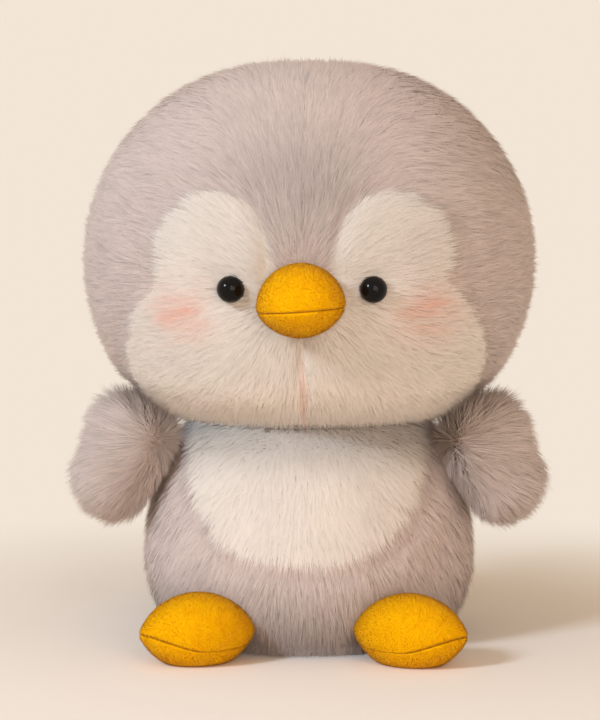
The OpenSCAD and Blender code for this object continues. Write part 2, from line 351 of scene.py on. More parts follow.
    def head_depth(self, p):
        """Depth of the backing under the pile: less on the face, more at seams and round the eyes."""
        edge = self.face_edge(p)
        depth = self.head_sink * self.length_at(edge, self.pile.face_length)
        depth += 1.0 * MM * bump(edge, 3 * MM)
        front = ease(-p[:, 1], 0, 40 * MM)
        under_beak = ease(self.beak[2] - p[:, 2], 0, 12 * MM)
        depth += 0.6 * MM * bump(p[:, 0], 3 * MM) * front * under_beak
        for side in SIDES:
            off_eye = np.linalg.norm(p - on_side(self.eye, side), axis=1)
            depth += 1.6 * MM * bump(off_eye, 9 * MM)
        return depth

    def head_skin_gap(self, p):
        """Gap to the backing of the head, with the dish that the neck turns in."""
        dish = self.neck_r + self.play + 3 * MM - np.linalg.norm(p - self.neck, axis=1)
        return soft_max(self.head_gap(p) + self.head_depth(p), dish, 3 * MM)

    def body_gap(self, p):
        """Gap to the body over the pile, with the dome of its neck."""
        radius = np.hypot(p[:, 0], p[:, 1])
        rise = p[:, 2] - self.fullest_z
        flank = np.hypot(radius - (self.body_r - self.flank_r), rise) - self.flank_r
        seat = np.hypot(radius - (self.body_r - self.seat_r), rise) - self.seat_r
        torso = np.where(rise > 0, flank, soft_max(seat, -p[:, 2], 5 * MM))
        dome = np.linalg.norm(p - self.neck, axis=1) - self.neck_r
        return soft_min(soft_max(torso, p[:, 2] - self.shoulder_z, 5 * MM), dome, 8 * MM)

    def belly_edge(self, p):
        """Distance from the belly's outline as seen from the front, negative inside it."""
        fullness = 2.6
        below = np.maximum(self.belly_z - p[:, 2], 0)
        edge = (np.abs(p[:, 0]) ** fullness + below**fullness) ** (1 / fullness) - self.belly_r
        return np.where(p[:, 1] < 0, edge, 1.0)

    def body_depth(self, p):
        """Depth of the backing under the pile of the body, more at the belly's seam."""
        edge = self.belly_edge(p)
        depth = self.body_sink * self.length_at(edge, self.pile.belly_length)
        flat = 0.5 * MM
        depth = flat + (depth - flat) * ease(p[:, 2], 0, 10 * MM)
        return depth + 0.8 * MM * bump(edge, 3 * MM) * ease(p[:, 2], 4 * MM, 12 * MM)

    def body_skin_gap(self, p):
        """Gap to the backing of the body."""
        return self.body_gap(p) + self.body_depth(p)

    def wing_gap(self, p):
        """Gap to the left wing over the pile."""
        along = np.clip((p - self.wing) @ self.wing_way / self.wing_l, 0, 1)
        centre = self.wing + along[:, None] * self.wing_l * self.wing_way
        radius = self.wing_r + (self.wing_tip_r - self.wing_r) * along
        gap = np.linalg.norm(p - centre, axis=1) - radius
        gap = soft_max(gap, (p - self.wing) @ self.wing_flat - self.wing_flat_h, 5 * MM)
        for cut in self.wing_cuts:
            gap = soft_max(gap, -(p - self.wing_seam) @ cut - 4 * MM, 6 * MM)
        return gap

    def wing_skin_gap(self, p):
        """Gap to the backing of the left wing, pulled in where the wing is tacked to the body."""
        tacked = bump(np.linalg.norm(p - self.wing_tack, axis=1), 9 * MM)
        inner = ease((p - self.wing_seam) @ self.wing_side, -4 * MM, 6 * MM)
        depth = self.wing_sink * self.pile.wing_length * (0.25 + 0.75 * inner)
        return self.wing_gap(p) + depth + 2.5 * MM * tacked

    def beak_place(self, p):
        """Points as seen from the middle of the beak's seam, with the seam level."""
        return turn(p - self.beak, 1, -self.beak_tilt)

    def beak_cap_gap(self, p, rise, way):
        """Gap to one cap of the beak, above (1) or below (-1) the seam, drawn in along the seam."""
        q = self.beak_place(p)
        radius = arc_radius(self.beak_r, rise)
        centre = np.array([0, 0, way * (rise - radius)])
        ball = np.linalg.norm(q - centre, axis=1) - radius
        return soft_max(ball, -way * q[:, 2], 1.5 * MM)

    def beak_upper_gap(self, p):
        """Gap to the upper half of the beak."""
        return self.beak_cap_gap(p, self.beak_upper_h, 1)

    def beak_lower_gap(self, p):
        """Gap to the lower half of the beak."""
        return self.beak_cap_gap(p, self.beak_lower_h, -1)

    def beak_gap(self, p):
        """Gap to the whole beak."""
        return np.minimum(self.beak_upper_gap(p), self.beak_lower_gap(p))

    def foot_place(self, p):
        """Points as seen from the left foot's middle, with its length along x."""
        return turn(p - self.foot, 2, self.foot_yaw)

    def foot_lemon_gap(self, p):
        """Gap to the left foot's whole form."""
        q = self.foot_place(p)
        around = np.hypot(q[:, 1], q[:, 2])
        lemon = np.hypot(q[:, 0], around + self.foot_arc_r - self.foot_r) - self.foot_arc_r
        return soft_max(lemon, -p[:, 2], 1.5 * MM)

    def foot_rim(self, p):
        """Height above the rim seam of the left foot, which lifts towards the outer end."""
        outward = self.foot_place(p)[:, 0]
        return p[:, 2] - self.foot_rim_z - self.foot_rim_lift * ease(outward, 0, self.foot_half)

    def foot_crease(self, p):
        """How far the rim seam draws the left foot in, more towards its outer end."""
        outward = self.foot_place(p)[:, 0] / self.foot_half
        return (0.3 + 1.2 * ease(outward, -0.3, 0.7)) * MM

    def foot_top_gap(self, p):
        """Gap to the padded top of the left foot."""
        return soft_max(self.foot_lemon_gap(p), -self.foot_rim(p), self.foot_crease(p))

    def foot_sole_gap(self, p):
        """Gap to the sole of the left foot."""
        return soft_max(self.foot_lemon_gap(p) + 0.1 * MM, self.foot_rim(p), self.foot_crease(p))


def slope(gap, points):
    """Unit normals of a form at points near its surface."""
    step = 0.05 * MM
    here = gap(points)
    rise = [gap(points + step * np.eye(3)[axis]) - here for axis in range(3)]
    return unit(np.stack(rise, 1))


# Meshes from arrays

def form_arrays(gap, middle, levels):
    """Vertices and triangles of the closed surface where gap is zero, seen from a point inside it."""
    ball = bmesh.new()
    bmesh.ops.create_icosphere(ball, subdivisions=levels, radius=1)
    ways = np.array([v.co for v in ball.verts])
    triangles = np.array([[v.index for v in f.verts] for f in ball.faces])
    ball.free()
    farthest, halvings = 0.25, 36
    near, far = np.zeros(len(ways)), np.full(len(ways), farthest)
    for _ in range(halvings):
        half = (near + far) / 2
        inside = gap(middle + ways * half[:, None]) < 0
        near, far = np.where(inside, half, near), np.where(inside, far, half)
    return middle + ways * near[:, None], triangles


def array_mesh(name, vertices, triangles):
    """A smooth-shaded mesh of triangles."""
    mesh = bpy.data.meshes.new(name)
    mesh.vertices.add(len(vertices))
    mesh.vertices.foreach_set("co", vertices.astype(np.float32).ravel())
    mesh.loops.add(triangles.size)
    mesh.loops.foreach_set("vertex_index", triangles.astype(np.int32).ravel())
    mesh.polygons.add(len(triangles))
    mesh.polygons.foreach_set("loop_start", np.arange(0, triangles.size, 3, dtype=np.int32))
    mesh.polygons.foreach_set("use_smooth", np.ones(len(triangles), bool))
    mesh.update(calc_edges=True)
    return mesh


def add_values(mesh, name, values):
    """A number for each vertex, which a material reads by name."""
    mesh.attributes.new(name, "FLOAT", "POINT").data.foreach_set("value", values.astype(np.float32))


# Strands

def triangle_areas(corners):
    """Area of each triangle."""
    first, second = corners[:, 1] - corners[:, 0], corners[:, 2] - corners[:, 0]
    return np.linalg.norm(np.cross(first, second), axis=1) / 2


def scatter(vertices, triangles, count, rng):
    """Points spread evenly over the triangles."""
    corners = vertices[triangles]
    reached = np.cumsum(triangle_areas(corners))
    drawn = np.searchsorted(reached, (np.arange(count) + rng.random(count)) / count * reached[-1])
    chosen = corners[np.minimum(drawn, len(corners) - 1)]
    root, share = np.sqrt(rng.random((count, 1))), rng.random((count, 1))
    return chosen[:, 0] * (1 - root) + chosen[:, 1] * root * (1 - share) + chosen[:, 2] * root * share


def plant(vertices, triangles, gap, density, rng):
    """Roots on a form, with its normals there. Density is strands on a square millimetre."""
    count = int(triangle_areas(vertices[triangles]).sum() / MM**2 * density)
    roots = scatter(vertices, triangles, count, rng)
    for _ in range(2):
        normals = slope(gap, roots)
        roots = roots - normals * gap(roots)[:, None]
    return roots, normals


def nearest_clump(roots, every, rng):
    """For each root, the number of the nearest of the roots that lead a tuft."""
    leaders = rng.choice(len(roots), max(1, len(roots) // every), replace=False)
    points = roots.tolist()
    tree = KDTree(len(leaders))
    for leader in leaders.tolist():
        tree.insert(points[leader], leader)
    tree.balance()
    return np.array([tree.find(point)[1] for point in points])


class PileCut:
    """How a pile stands.

    Lean is the degrees from upright at root and tip. Pull draws the strands of a tuft together. Ruffle
    and stray are degrees of turning aside, in patches and by strand. Spread is how lightness differs.
    """

    def __init__(self, cloth, lean, tuft, pull, ruffle, stray, spread):
        self.cloth = cloth
        self.lean_root, self.lean_tip = map(math.radians, lean)
        self.tuft = tuft
        self.pull = pull
        self.ruffle = math.radians(ruffle)
        self.stray = math.radians(stray)
        self.spread = spread


PILE_CUTS = {
    "head": PileCut("grey pile", lean=(44, 76), tuft=5, pull=0.16, ruffle=13, stray=7, spread=0.07),
    "face": PileCut("cream pile", lean=(47, 78), tuft=5, pull=0.10, ruffle=10, stray=6, spread=0.02),
    "body": PileCut("grey pile", lean=(42, 74), tuft=5, pull=0.16, ruffle=13, stray=7, spread=0.07),
    "belly": PileCut("cream pile", lean=(45, 76), tuft=5, pull=0.12, ruffle=11, stray=6, spread=0.02),
    "base": PileCut("grey pile", lean=(60, 85), tuft=10, pull=0.2, ruffle=20, stray=15, spread=0.05),
    "wing": PileCut("grey pile", lean=(38, 70), tuft=6, pull=0.22, ruffle=13, stray=7.5, spread=0.07),
}


def lay_out(mesh, normals, corners, count):
    """Give strands their shading normals, and each of them a cell of its own in the map for baking."""
    shading = mesh.attributes.new("custom_normal", "FLOAT_VECTOR", "POINT")
    shading.data.foreach_set("vector", normals.astype(np.float32).ravel())
    cells = math.ceil(math.sqrt(count))
    cell = np.stack([np.arange(count) % cells, np.arange(count) // cells], 1)
    spots = (cell[:, None, :] + corners) / cells
    mesh.uv_layers.new(name="OFBake").data.foreach_set("uv", spots.astype(np.float32).ravel())


def strand_mesh(name, points, sides, normals, tint, blush):
    """Ribbons of three triangles on two points at the root, two in the middle and one at the tip."""
    root, middle, tip = points
    count = len(root)
    half, narrow = sides
    vertices = np.stack([root - half, root + half, middle - narrow, middle + narrow, tip], 1)
    each = vertices.shape[1]
    pattern = np.array([[0, 1, 3], [0, 3, 2], [2, 3, 4]])
    triangles = (np.arange(count)[:, None, None] * each + pattern).reshape(-1, 3)
    mesh = array_mesh(name, vertices.reshape(-1, 3), triangles)
    add_values(mesh, "along", np.tile([0, 0, 0.5, 0.5, 1], count))
    add_values(mesh, "tint", np.repeat(tint, each))
    add_values(mesh, "blush", np.repeat(blush, each))
    corners = np.array([[0.1, 0.05], [0.9, 0.05], [0.2, 0.5], [0.8, 0.5], [0.5, 0.95]])
    lay_out(mesh, np.repeat(normals, each, axis=0), corners[pattern.ravel()], count)
    return mesh


def grow(name, planted, cut, width, seed):
    """A mesh of strands that lean along comb, less where upright nears one, in loose tufts."""
    roots, normals, comb, lengths, upright, tone, blush = planted
    rng = np.random.default_rng(seed)
    count = len(roots)
    leader = nearest_clump(roots, cut.tuft, rng)
    sideways = np.cross(normals, comb)
    slow, quick = ripple(roots, 26 * MM, seed), ripple(roots, 9 * MM, seed + 1)
    swing = cut.ruffle * (0.6 * slow + 0.4 * quick)
    swing = swing + cut.stray * (0.5 * rng.normal(size=count) + 0.8 * rng.normal(size=count)[leader])
    way = comb * np.cos(swing)[:, None] + sideways * np.sin(swing)[:, None]
    rise = cut.stray * (0.4 * rng.normal(size=count) + 0.5 * rng.normal(size=count)[leader])
    lengths = lengths * (1 + 0.10 * rng.normal(size=count).clip(-2, 2))

    def step(lean):
        """Direction of a strand where its lean from upright is given."""
        bent = np.clip(lean * (1 - upright) + rise, 0, math.radians(88))
        return normals * np.cos(bent)[:, None] + way * np.sin(bent)[:, None]

    sunk, off_floor = 0.4 * MM, 0.3 * MM
    start = roots - normals * sunk
    middle = roots + step(cut.lean_root) * (0.5 * lengths)[:, None]
    tip = middle + step(cut.lean_tip) * (0.5 * lengths)[:, None]
    pull = cut.pull * rng.uniform(0.5, 1.0, (count, 1))
    middle = middle + (middle[leader] - middle) * (0.4 * pull)
    tip = tip + (tip[leader] - tip) * pull
    for part in (start, middle, tip):
        part[:, 2] = np.maximum(part[:, 2], off_floor)
    heading = unit(tip - start)
    flat = unit(np.cross(heading, normals))
    roll = rng.normal(0, math.radians(38), count).clip(-1.2, 1.2)
    edge = flat * np.cos(roll)[:, None] + np.cross(heading, flat) * np.sin(roll)[:, None]
    half = edge * (width / 2 * rng.uniform(0.7, 1.2, (count, 1)))
    tint = (0.6 * rng.normal(size=count) + 0.6 * rng.normal(size=count)[leader]).clip(-2, 2)
    # Tone holds the painted light and shade that each panel gives its strands; spread adds random tone.
    tint = tone + cut.spread * tint
    shown = unit(normals + 0.12 * unit(np.cross(edge, heading)))
    return strand_mesh(name, (start, middle, tip), (half, half * 0.8), shown, tint, blush)


def nap_mesh(name, roots, normals, length, width, seed):
    """Short single triangles that stand on fleece, each leaning its own way."""
    rng = np.random.default_rng(seed)
    count = len(roots)
    lean = unit(normals + 0.75 * rng.normal(size=(count, 3)))
    lean = unit(lean + normals * np.maximum(0.15 - np.sum(lean * normals, axis=1), 0)[:, None])
    edge = unit(np.cross(lean, rng.normal(size=(count, 3)))) * (width / 2)
    tip = roots + lean * (length * rng.uniform(0.6, 1.1, (count, 1)))
    tip[:, 2] = np.maximum(tip[:, 2], 0)
    sunk = 0.1 * MM
    start = roots - normals * sunk
    vertices = np.stack([start - edge, start + edge, tip], 1)
    mesh = array_mesh(name, vertices.reshape(-1, 3), np.arange(count * 3).reshape(-1, 3))
    shown = unit(normals + 0.1 * lean)
    corners = np.array([[0.1, 0.1], [0.9, 0.1], [0.5, 0.9]])
    lay_out(mesh, np.repeat(shown, 3, axis=0), corners, count)
    return mesh


# Node trees

def set_input(tree, socket, value):
    """Give an input a plain value, or link it from another socket."""
    if isinstance(value, bpy.types.NodeSocket):
        tree.links.new(value, socket)
    else:
        socket.default_value = value


def opaque(colour):
    """A colour with full alpha."""
    return (*colour, 1.0)


def add_node(tree, kind, inputs=None, **settings):
    """One node with its settings, and its inputs as values or as links from other sockets."""
    node = tree.nodes.new(kind)
    for name, value in settings.items():
        setattr(node, name, value)
    for name, value in (inputs or {}).items():
        set_input(tree, node.inputs[name], value)
    return node


def blend_colours(tree, factor, first, second):
    """The colour between two colours, which a mix node keeps in its inputs 6 and 7."""
    mix = add_node(tree, "ShaderNodeMix", data_type="RGBA", blend_type="MIX")
    for socket, value in ((0, factor), (6, first), (7, second)):
        set_input(tree, mix.inputs[socket], value)
    return mix.outputs[2]


def calculate(tree, operation, first, second):
    """The result of a sum on two numbers."""
    return add_node(tree, "ShaderNodeMath", {0: first, 1: second}, operation=operation).outputs[0]


def read_value(tree, name):
    """The number that a mesh carries under a name."""
    return add_node(tree, "ShaderNodeAttribute", attribute_name=name).outputs["Fac"]


def new_group(name, inputs, outputs):
    """An empty shader node group with named sockets, and its input and output nodes."""
    tree = bpy.data.node_groups.new(name, "ShaderNodeTree")
    for label, kind, value in inputs:
        tree.interface.new_socket(label, in_out="INPUT", socket_type=kind).default_value = value
    for label, kind in outputs:
        tree.interface.new_socket(label, in_out="OUTPUT", socket_type=kind)
    return tree, tree.nodes.new("NodeGroupInput"), tree.nodes.new("NodeGroupOutput")


COLOUR, NUMBER = "NodeSocketColor", "NodeSocketFloat"


def object_place(tree):
    """Place on the piece itself, in metres."""
    return add_node(tree, "ShaderNodeTexCoord").outputs["Object"]


def object_noise(tree, scale, detail):
    """Noise that keeps its place on the piece. Scale is features on a metre."""
    look = {"Vector": object_place(tree), "Scale": scale, "Detail": detail, "Roughness": 0.6}
    return add_node(tree, "ShaderNodeTexNoise", look).outputs["Fac"]


def lighten(tree, colour, light):
    """A colour made lighter or darker by a factor."""
    return add_node(tree, "ShaderNodeHueSaturation", {"Color": colour, "Value": light}).outputs["Color"]


def add_bump(tree, shader, height, depth, strength):
    """Let a height from 0 to 1 tilt the shader's normals."""
    look = {"Height": height, "Distance": depth, "Strength": strength}
    bumped = add_node(tree, "ShaderNodeBump", look)
    tree.links.new(bumped.outputs["Normal"], shader.inputs["Normal"])


def pile_group():
    """Colour of a strand: dark at the root, its tint, slow patches, and blush by its blush value. The
    tint holds random tone together with painted light and shade; the blush value holds the cheeks' blush
    and painted shade in the seam under the beak.
    """
    tree, given, result = new_group(
        "pile colour",
        [
            ("Root", COLOUR, (0.3, 0.3, 0.3, 1)),
            ("Tip", COLOUR, (0.6, 0.6, 0.6, 1)),
            ("Blush", COLOUR, (0.8, 0.4, 0.3, 1)),
        ],
        [("Colour", COLOUR)],
    )
    fade = calculate(tree, "POWER", read_value(tree, "along"), 0.8)
    colour = blend_colours(tree, fade, given.outputs["Root"], given.outputs["Tip"])
    patches = calculate(tree, "SUBTRACT", object_noise(tree, 45.0, 3.0), 0.5)
    patch_light = calculate(tree, "MULTIPLY", patches, 0.17)
    light = calculate(tree, "ADD", read_value(tree, "tint"), patch_light)
    tinted = lighten(tree, colour, light)
    dyed = blend_colours(tree, read_value(tree, "blush"), tinted, given.outputs["Blush"])
    tree.links.new(dyed, result.inputs["Colour"])
    return tree


def fleece_group():
    """Colour and height of fleece: mottled, with fine grain. The same mottle sets the height, so the
    deep orange lies in the hollows: partly the fleece's own mottle, partly painted shade.
    """
    tree, given, result = new_group(
        "fleece colour",
        [("Light", COLOUR, (0.9, 0.5, 0.1, 1)), ("Deep", COLOUR, (0.7, 0.3, 0.0, 1))],
        [("Colour", COLOUR), ("Height", NUMBER)],
    )
    coarse = object_noise(tree, 260.0, 4.0)
    fine = object_noise(tree, 1500.0, 3.0)
    coarse_share = calculate(tree, "MULTIPLY", coarse, 0.55)
    fine_share = calculate(tree, "MULTIPLY", fine, 0.45)
    mottle = calculate(tree, "ADD", coarse_share, fine_share)
    spread = add_node(
        tree, "ShaderNodeMapRange", {"Value": mottle, "From Min": 0.34, "From Max": 0.60}, clamp=True
    ).outputs["Result"]
    colour = blend_colours(tree, spread, given.outputs["Deep"], given.outputs["Light"])
    tree.links.new(colour, result.inputs["Colour"])
    tree.links.new(mottle, result.inputs["Height"])
    return tree


def add_group(tree, name, build, **colours):
    """A node for a group, which is built the first time that it is asked for, with its colours."""
    shared = bpy.data.node_groups.get(name) or build()
    inputs = {label: opaque(colour) for label, colour in colours.items()}
    return add_node(tree, "ShaderNodeGroup", inputs, node_tree=shared)


def new_material(name, **constants):
    """A material with one Principled shader and plain values on its sockets."""
    material = bpy.data.materials.new(name)
    material.use_nodes = True
    shader = material.node_tree.nodes["Principled BSDF"]
    for label, value in constants.items():
        shader.inputs[label.replace("_", " ")].default_value = value
    return material, material.node_tree, shader


def pile_material(name, root, tip, blush):
    """Long pile, read from the values on its strands."""
    material, tree, shader = new_material(name, Roughness=0.8, Specular_IOR_Level=0.15)
    group = add_group(tree, "pile colour", pile_group, Root=root, Tip=tip, Blush=blush)
    tree.links.new(group.outputs["Colour"], shader.inputs["Base Color"])
    return material


def backing_material(name, grey, cream):
    """Knitted backing under the pile, grey or cream by the value that its mesh carries, with its weave
    darker in the hollows of the knit as painted shade.
    """
    material, tree, shader = new_material(name, Roughness=0.95, Specular_IOR_Level=0.1)
    weave = object_noise(tree, 900.0, 2.0)
    colour = blend_colours(tree, read_value(tree, "cream"), opaque(grey), opaque(cream))
    # Painted shade: the weave that sets the bump also darkens the low places of the knit.
    knitted = lighten(tree, colour, calculate(tree, "ADD", weave, 0.45))
    tree.links.new(knitted, shader.inputs["Base Color"])
    add_bump(tree, shader, weave, depth=0.3 * MM, strength=0.5)
    return material


def fleece_material(name, light, deep):
    """Short-nap fleece with a soft sheen."""
    material, tree, shader = new_material(
        name, Roughness=0.9, Specular_IOR_Level=0.05, Sheen_Weight=0.05, Sheen_Roughness=0.5
    )
    group = add_group(tree, "fleece colour", fleece_group, Light=light, Deep=deep)
    tree.links.new(group.outputs["Colour"], shader.inputs["Base Color"])
    add_bump(tree, shader, group.outputs["Height"], depth=0.3 * MM, strength=0.2)
    return material


def moulded_material(name, colour, roughness, wear):
    """Moulded plastic with faint handling marks."""
    material, tree, shader = new_material(name, Specular_IOR_Level=0.15)
    marks = object_noise(tree, 700.0, 4.0)
    span = {"From Min": 0.3, "From Max": 0.7, "To Min": roughness, "To Max": roughness + wear}
    rough = add_node(tree, "ShaderNodeMapRange", {"Value": marks, **span}, clamp=True).outputs["Result"]
    tree.links.new(rough, shader.inputs["Roughness"])
    tinted = blend_colours(tree, marks, opaque(colour), opaque(tuple(1.25 * part for part in colour)))
    tree.links.new(tinted, shader.inputs["Base Color"])
    return material


def thread_material(name, colour):
    """Twisted thread, with painted shade in the grooves of the twist."""
    material, tree, shader = new_material(name, Roughness=0.7, Specular_IOR_Level=0.3)
    look = {"Vector": object_place(tree), "Scale": 400.0, "Distortion": 2.0}
    twist = add_node(tree, "ShaderNodeTexWave", look, bands_direction="DIAGONAL").outputs["Fac"]
    # Painted shade: the darker colour lies where the twist's bump is low.
    dark = tuple(0.6 * part for part in colour)
    tree.links.new(blend_colours(tree, twist, opaque(dark), opaque(colour)), shader.inputs["Base Color"])
    add_bump(tree, shader, twist, depth=0.2 * MM, strength=0.6)
    return material


FABRICS = {
    "grey pile": lambda name, c: pile_material(name, c.grey_root, c.grey_tip, c.blush),
    "cream pile": lambda name, c: pile_material(name, c.cream_root, c.cream_tip, c.blush),
    "knitted backing": lambda name, c: backing_material(name, c.grey_root, c.cream_root),
    "orange fleece": lambda name, c: fleece_material(name, c.orange, c.orange_deep),
}
STRAND_SHARES = {"grey pile": 1.0, "cream pile": 0.9}


def fabric(name, colours):
    """A fabric's material by name, made the first time that it is asked for."""
    return bpy.data.materials.get(name) or FABRICS[name](name, colours)


# Operators

class PenguinBuilder:
    """What every operator of the toy starts from."""

    bl_options = {"REGISTER", "UNDO"}

    def execute(self, context):
        """Take sizes, pile and colours from the scene, and build."""
        scene = context.scene
        self.pile = scene.penguin_pile
        self.colours = scene.penguin_colours
        self.forms = PenguinForms(scene.penguin_sizes, scene.penguin_pile)
        self.build()
        return {"FINISHED"}

    def add_piece(self, name, mesh, cloth, body, replaced=()):
        """A piece in one of the fabrics, which rides on a body and stands for solids."""
        piece = bpy.data.objects.new(name, mesh)
        bpy.context.scene.collection.objects.link(piece)
        mesh.materials.append(fabric(cloth, self.colours))
        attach(piece, body)
        if replaced:
            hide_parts(*replaced)
        return piece

    def stuff(self, name, form, cloth, body, replaced, fill):
        """A padded piece from the vertices and triangles of its form."""
        piece = self.add_piece(name, array_mesh(name, *form), cloth, body, replaced)
        return piece

    def sew(self, name, cut_name, chosen, planted, body, replaced, seed):
        """One panel's pile from the planted roots that belong to it."""
        if not chosen.any():
            raise RuntimeError(f"{name} has no roots")
        cut = PILE_CUTS[cut_name]
        width = STRAND_SHARES[cut.cloth] * self.pile.strand_width
        mesh = grow(name, [part[chosen] for part in planted], cut, width, seed)
        self.let_light_through(self.add_piece(name, mesh, cut.cloth, body, replaced))

    def raise_nap(self, name, roots, normals, body, seed):
        """Fleece nap on the planted roots."""
        mesh = nap_mesh(name, roots, normals, self.pile.nap_length, self.pile.nap_width, seed)
        self.let_light_through(self.add_piece(name, mesh, "orange fleece", body))

    def let_light_through(self, strands):
        """Thin fibre hardly shades what is beside it, so strands cast no shadow of their own."""
        strands.visible_shadow = False


class PENGUIN_OT_head(PenguinBuilder, bpy.types.Operator):
    """Stuff the head and sew its grey and cream pile over it"""

    bl_idname = "penguin.head"
    bl_label = "Head and face"

    def comb(self, roots, normals):
        """Pile runs out from the beak over the face, aside over the crown, and down the back."""
        out = unit(roots - (self.forms.beak + np.array([0, 12, 6]) * MM))
        behind = ease(roots[:, 1], -10 * MM, 70 * MM)[:, None]
        high = ease(roots[:, 2], self.forms.lobe[1] - 10 * MM, self.forms.lobe[1] + 35 * MM)
        parted = 0.7 * high * ease(np.abs(roots[:, 0]), 6 * MM, 45 * MM)
        aside = np.sign(roots[:, :1]) * np.array([1, 0, -0.25])
        out = out * (1 - parted[:, None]) + aside * parted[:, None]
        return tangent(out * (1 - 0.6 * behind) + DOWN * (1.1 * behind), normals)

    def tone(self, roots, cream):
        """Lightness: painted light makes the crown and the chin lighter, painted shade makes the brow
        and the lobes a little darker.
        """
        height = roots[:, 2]
        middle_z, lobe_z, chin_z = self.forms.head_middle[2], self.forms.lobe[1], self.forms.chin_z
        crown = ease(height, middle_z + 30 * MM, middle_z + 75 * MM)
        lobes = ease(height, lobe_z - 30 * MM, lobe_z)
        chin = ease(chin_z + 28 * MM - height, 0, 16 * MM)
        brow = bump(roots[:, 0], 26 * MM) * bump(height - lobe_z - 24 * MM, 22 * MM) * (roots[:, 1] < 0)
        return np.where(cream, 1.0 - 0.08 * lobes + 0.12 * chin, 1.0 + 0.09 * crown - 0.21 * brow)

    def blush_and_seam_shade(self, roots):
        """Blush in a soft, streaky patch on each cheek, and painted shade in the blush's colour along
        the seam under the beak.
        """
        total = np.zeros(len(roots))
        for side in SIDES:
            spot = on_side(self.forms.blush, side)
            across = (roots[:, 0] - spot[0]) / (13 * MM)
            up = (roots[:, 2] - spot[2]) / (11 * MM)
            total += np.where(roots[:, 1] < 0, bump(np.hypot(across, up), 0.85), 0)
        streaks = 0.75 + 0.35 * ripple(roots * np.array([0.5, 0.5, 2.0]), 9 * MM, 71)
        # Painted shade: the seam under the beak takes some of the blush colour.
        seam = bump(roots[:, 0], 1.2 * MM) * ease(self.forms.beak[2] - roots[:, 2], 10 * MM, 20 * MM)
        return np.clip(0.75 * total * streaks + 0.45 * seam, 0, 1)

    def build(self):
        forms, pile = self.forms, self.pile
        vertices, triangles = form = form_arrays(forms.head_skin_gap, forms.head_middle, 7)
        pad = self.stuff("head_pad", form, "knitted backing", "head", ["head_stuffing"], fill=0.9)
        add_values(pad.data, "cream", ease(-forms.face_edge(vertices), -1 * MM, 1 * MM))
        rng = np.random.default_rng(seed=11)
        planted = plant(vertices, triangles, forms.head_skin_gap, pile.cream_density, rng)
        roots, normals = planted
        comb = self.comb(roots, normals)
        seen_at = roots + comb * (0.75 * pile.face_length)
        cream = forms.face_edge(seen_at) + 0.6 * MM * ripple(roots, 7 * MM, 5) < 0
        thinned = cream | (rng.random(len(roots)) < pile.grey_density / pile.cream_density)
        off_eye = np.min(
            [np.linalg.norm(roots - on_side(forms.eye, side), axis=1) for side in SIDES], axis=0
        )
        off_neck = np.linalg.norm(roots - forms.neck, axis=1) - forms.neck_r
        eye_clear, neck_clear, beak_clear = 0.3 * MM, 4.3 * MM, 0.6 * MM
        open_pile = thinned & (off_eye > forms.eye_r + eye_clear) & (off_neck > neck_clear)
        open_pile &= forms.beak_gap(roots) > beak_clear
        long_at_eye = 1 + 0.15 * bump(off_eye - forms.eye_r, 3 * MM)
        short_at_beak = 0.55 + 0.45 * ease(forms.beak_gap(roots), 1 * MM, 12 * MM)
        lengths = np.where(cream, pile.face_length, pile.grey_length) * long_at_eye * short_at_beak
        hanging = 0.75 * ease(forms.chin_z + 15 * MM - roots[:, 2], 0, 9 * MM)
        hanging = hanging + 0.25 * bump(off_eye - forms.eye_r, 3 * MM)
        planted = (*planted, comb, lengths, hanging, self.tone(roots, cream), self.blush_and_seam_shade(roots))
        front = roots[:, 1] < -0.1 * forms.head_r
        for side, word in SIDES.items():
            mine = open_pile & (roots[:, 0] * side > 0)
            for part, here in (("front", front), ("back", ~front)):
                self.sew(
                    f"head_pile_{word}_{part}", "head", mine & ~cream & here, planted,
                    body="head", replaced=[f"head_panel_{word}"], seed=20 + side + 5 * (part == "back"),
                )
            self.sew(
                f"face_pile_{word}", "face", mine & cream, planted,
                body="head", replaced=[f"face_panel_{word}"], seed=30 + side,
            )


